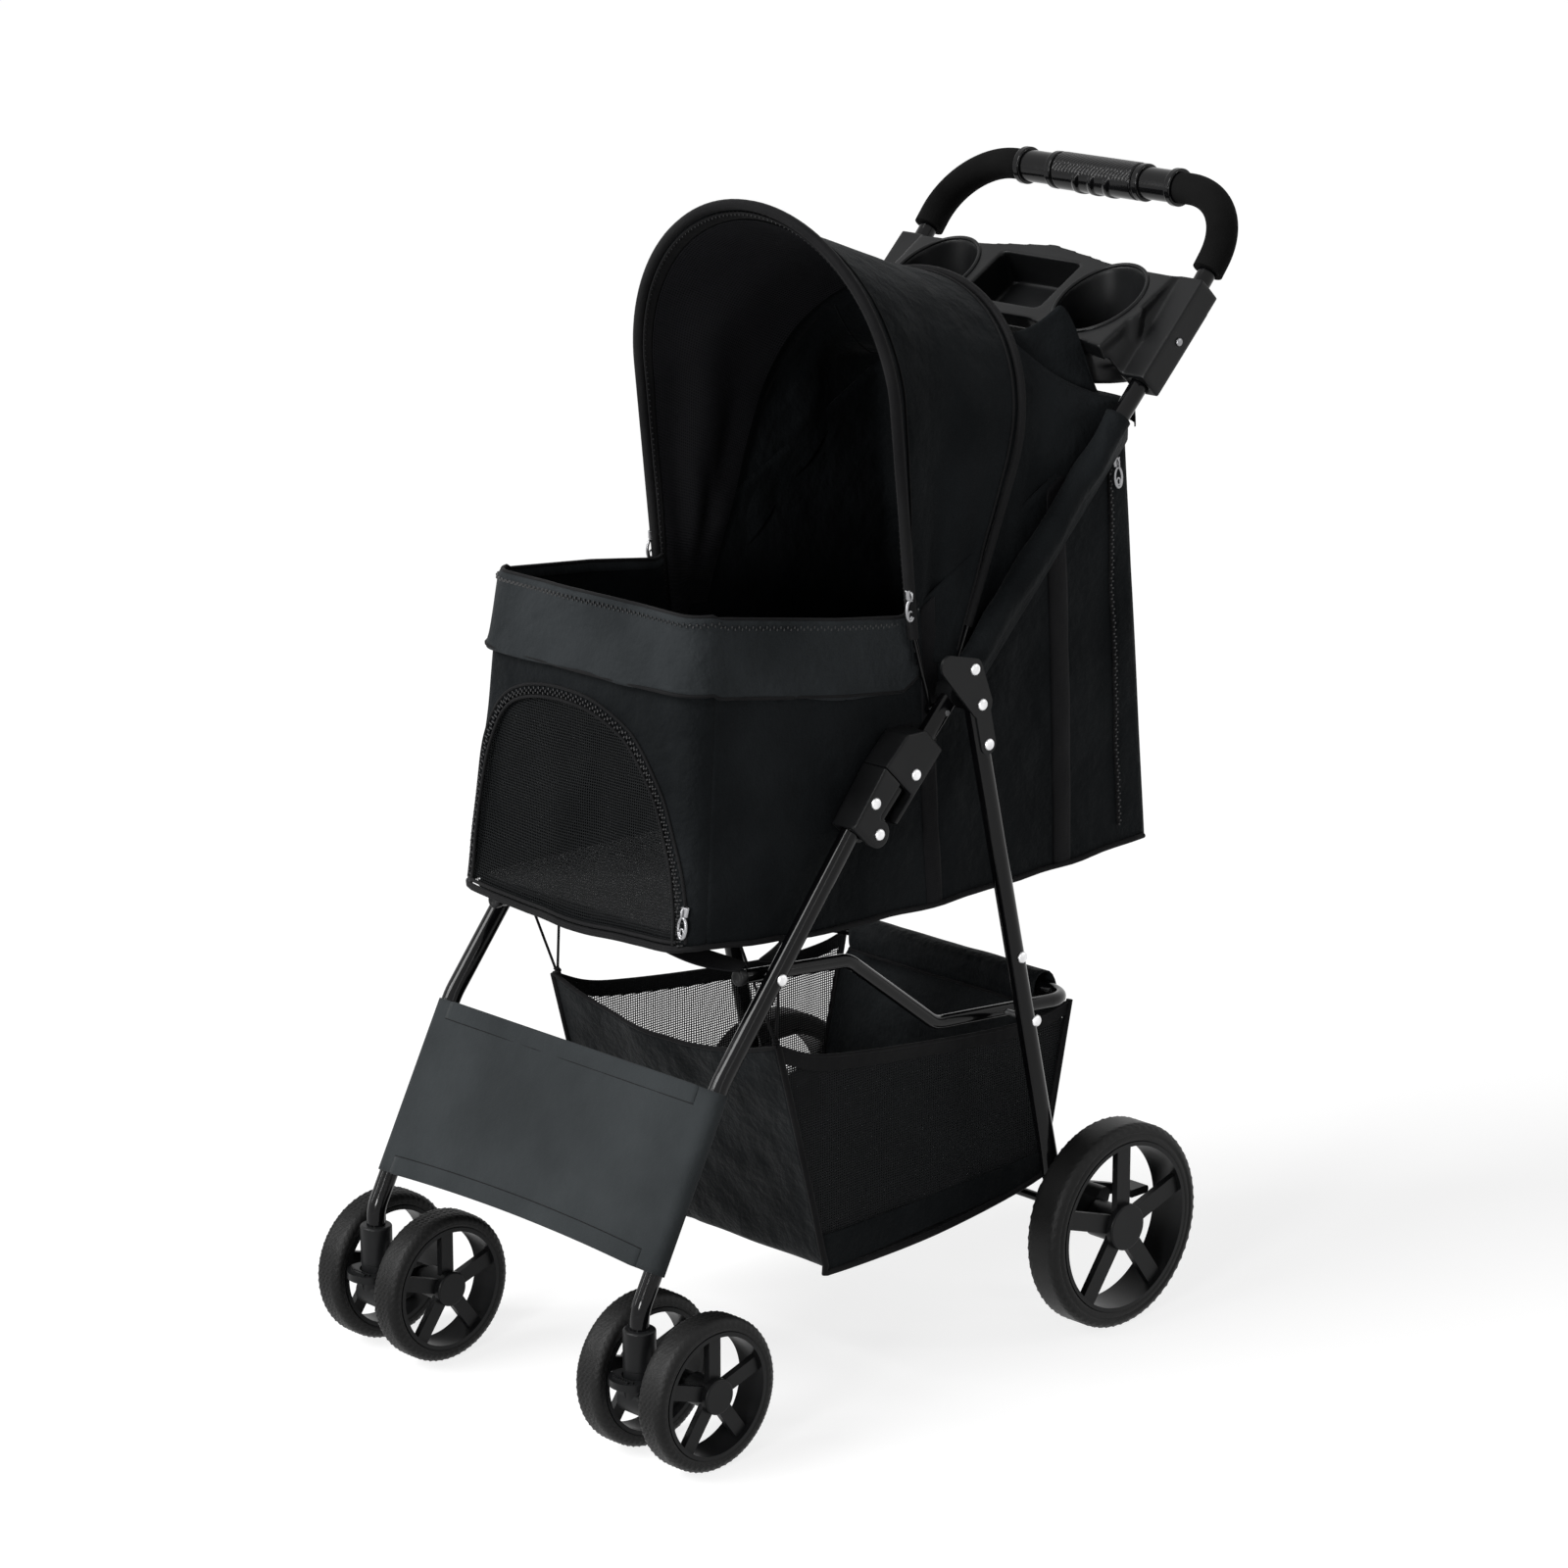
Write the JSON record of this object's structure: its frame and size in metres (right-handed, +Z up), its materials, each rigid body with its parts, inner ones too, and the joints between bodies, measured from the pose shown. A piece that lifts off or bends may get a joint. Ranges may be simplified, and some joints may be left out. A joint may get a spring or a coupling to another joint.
{
  "type": "folding pet stroller",
  "caption": "Folding pet stroller with a fabric cabin, swing-back hood, mesh front door, storage basket, twin swivel casters, braked rear wheels and a cup tray on the push handle.",
  "frame": {"origin": "on the floor, midway between the front tyres' front and the hand grip's back, on the middle plane", "axes": "+Z up, the front faces -Y, +X is the side of the left-hand pieces"},
  "size_m": [0.457, 0.742, 0.9679],
  "materials": {
    "frame_steel": "black gloss powder coat",
    "rivet_steel": "bright zinc",
    "black_plastic": "fine-grained moulded plastic",
    "gloss_plastic": "smooth moulded plastic",
    "foam": "fine closed-cell foam",
    "tyre_foam": "diamond-tread foam tyre",
    "black_cloth": "woven polyester",
    "grey_cloth": "heavy woven polyester",
    "zip_metal": "dark nickel"
  },
  "bodies": {
    "front_frame": {"front_leg_left": "frame_steel", "front_leg_right": "frame_steel", "lock_base_left": "black_plastic", "lock_base_right": "black_plastic", "foot_panel": "grey_cloth", "front_rivets": "rivet_steel", "caster_sockets": "black_plastic"},
    "handle": {"handle_tube": "frame_steel", "foam_sleeve_left": "foam", "foam_sleeve_right": "foam", "centre_grip": "gloss_plastic", "grip_collars": "gloss_plastic", "pivot_saddles": "black_plastic", "cup_tray": "black_plastic", "handle_screws": "rivet_steel", "cabin_shell": "black_cloth", "floor_mat": "black_cloth", "hood_cloth": "black_cloth"},
    "rear_frame": {"rear_leg_left": "frame_steel", "rear_leg_right": "frame_steel", "hinge_covers": "black_plastic", "axle_brackets": "black_plastic", "rear_axle": "frame_steel", "rear_rivets": "rivet_steel"},
    "storage": {"storage_bar": "frame_steel", "storage_basket": "black_cloth", "support_straps": "black_cloth"},
    "front_bow": {"hood_front_bow": "frame_steel"},
    "rear_bow": {"hood_rear_bow": "frame_steel"},
    "door": {"front_door": "black_cloth"},
    "door_pull": {"door_zip_pull": "zip_metal"},
    "rear_pull": {"rear_zip_pull": "zip_metal"},
    "caster_left": {"caster_fork_left": "black_plastic", "caster_pins_left": "frame_steel"},
    "swivel_lock_left": {"swivel_lever_left": "black_plastic"},
    "latch_body_left": {"latch_left": "black_plastic", "latch_rivet_left": "rivet_steel"},
    "brake_left": {"brake_lever_left": "black_plastic"},
    "rear_wheel_left": {"rear_rim_left": "black_plastic", "rear_tyre_left": "tyre_foam", "rear_hub_cap_left": "black_plastic"},
    "front_wheel_inner_left": {"front_rim_inner_left": "black_plastic", "front_tyre_inner_left": "tyre_foam"},
    "front_wheel_outer_left": {"front_rim_outer_left": "black_plastic", "front_tyre_outer_left": "tyre_foam"},
    "caster_right": {"caster_fork_right": "black_plastic", "caster_pins_right": "frame_steel"},
    "swivel_lock_right": {"swivel_lever_right": "black_plastic"},
    "latch_body_right": {"latch_right": "black_plastic", "latch_rivet_right": "rivet_steel"},
    "brake_right": {"brake_lever_right": "black_plastic"},
    "rear_wheel_right": {"rear_rim_right": "black_plastic", "rear_tyre_right": "tyre_foam", "rear_hub_cap_right": "black_plastic"},
    "front_wheel_inner_right": {"front_rim_inner_right": "black_plastic", "front_tyre_inner_right": "tyre_foam"},
    "front_wheel_outer_right": {"front_rim_outer_right": "black_plastic", "front_tyre_outer_right": "tyre_foam"}
  },
  "joints": [
    {"name": "handle_fold", "type": "hinge", "parent": "front_frame", "child": "handle", "pos_m": [0, -0.09116, 0.47895], "axis": [1, 0, 0], "range_deg": [-110, 0], "deforming": ["cabin_shell", "floor_mat", "hood_cloth", "front_door", "storage_basket", "support_straps"]},
    {"name": "rear_frame_fold", "type": "hinge", "parent": "handle", "child": "rear_frame", "pos_m": [0, 0.0121, 0.5713], "axis": [1, 0, 0], "range_deg": [0, 69.9]},
    {"name": "storage_fold", "type": "hinge", "parent": "front_frame", "child": "storage", "pos_m": [0, -0.1948, 0.3775], "axis": [1, 0, 0], "range_deg": [-66.69, 0]},
    {"name": "front_bow_swing", "type": "hinge", "parent": "handle", "child": "front_bow", "pos_m": [0, -0.00796, 0.56403], "axis": [1, 0, 0], "range_deg": [-38, 0]},
    {"name": "rear_bow_swing", "type": "hinge", "parent": "handle", "child": "rear_bow", "pos_m": [0, 0.0121, 0.5713], "axis": [1, 0, 0], "range_deg": [-11.45, 0]},
    {"name": "front_door_hinge", "type": "hinge", "parent": "handle", "child": "door", "pos_m": [0, -0.26538, 0.41938], "axis": [1, 0, 0], "range_deg": [0, 95]},
    {"name": "door_zip_slide", "type": "slide", "parent": "handle", "child": "door_pull", "axis": [0, 0.1067, 0.9943], "range_m": [0, 0.09]},
    {"name": "rear_zip_slide", "type": "slide", "parent": "handle", "child": "rear_pull", "axis": [0, 0, -1], "range_m": [0, 0.12]},
    {"name": "caster_swivel_left", "type": "hinge", "parent": "front_frame", "child": "caster_left", "pos_m": [0.164, -0.344, 0.08], "axis": [0, 0, 1], "continuous": true},
    {"name": "swivel_lock_rock_left", "type": "hinge", "parent": "caster_left", "child": "swivel_lock_left", "pos_m": [0.164, -0.344, 0.077], "axis": [1, 0, 0], "range_deg": [0, 15]},
    {"name": "front_wheel_spin_inner_left", "type": "hinge", "parent": "caster_left", "child": "front_wheel_inner_left", "pos_m": [0.127, -0.306, 0.065], "axis": [1, 0, 0], "continuous": true},
    {"name": "front_wheel_spin_outer_left", "type": "hinge", "parent": "caster_left", "child": "front_wheel_outer_left", "pos_m": [0.201, -0.306, 0.065], "axis": [1, 0, 0], "continuous": true},
    {"name": "rear_wheel_spin_left", "type": "hinge", "parent": "rear_frame", "child": "rear_wheel_left", "pos_m": [0.2095, 0.16, 0.091], "axis": [1, 0, 0], "continuous": true},
    {"name": "latch_slide_left", "type": "slide", "parent": "handle", "child": "latch_body_left", "axis": [0, 0.6992, 0.7149], "range_m": [0, 0.016], "stiffness_N_per_m": 300},
    {"name": "brake_press_left", "type": "hinge", "parent": "rear_frame", "child": "brake_left", "pos_m": [0.168, 0.171, 0.108], "axis": [1, 0, 0], "range_deg": [-20, 0]},
    {"name": "caster_swivel_right", "type": "hinge", "parent": "front_frame", "child": "caster_right", "pos_m": [-0.164, -0.344, 0.08], "axis": [0, 0, 1], "continuous": true},
    {"name": "swivel_lock_rock_right", "type": "hinge", "parent": "caster_right", "child": "swivel_lock_right", "pos_m": [-0.164, -0.344, 0.077], "axis": [1, 0, 0], "range_deg": [0, 15]},
    {"name": "front_wheel_spin_inner_right", "type": "hinge", "parent": "caster_right", "child": "front_wheel_inner_right", "pos_m": [-0.127, -0.306, 0.065], "axis": [1, 0, 0], "continuous": true},
    {"name": "front_wheel_spin_outer_right", "type": "hinge", "parent": "caster_right", "child": "front_wheel_outer_right", "pos_m": [-0.201, -0.306, 0.065], "axis": [1, 0, 0], "continuous": true},
    {"name": "rear_wheel_spin_right", "type": "hinge", "parent": "rear_frame", "child": "rear_wheel_right", "pos_m": [-0.2095, 0.16, 0.091], "axis": [1, 0, 0], "continuous": true},
    {"name": "latch_slide_right", "type": "slide", "parent": "handle", "child": "latch_body_right", "axis": [0, 0.6992, 0.7149], "range_m": [0, 0.016], "stiffness_N_per_m": 300},
    {"name": "brake_press_right", "type": "hinge", "parent": "rear_frame", "child": "brake_right", "pos_m": [-0.168, 0.171, 0.108], "axis": [1, 0, 0], "range_deg": [-20, 0]}
  ],
  "couplings": [
    {"joint": "rear_frame_fold", "follows": "handle_fold", "ratio": -0.635},
    {"joint": "storage_fold", "follows": "handle_fold", "ratio": 0.6058},
    {"joint": "rear_bow_swing", "follows": "front_bow_swing", "ratio": 0.3}
  ]
}
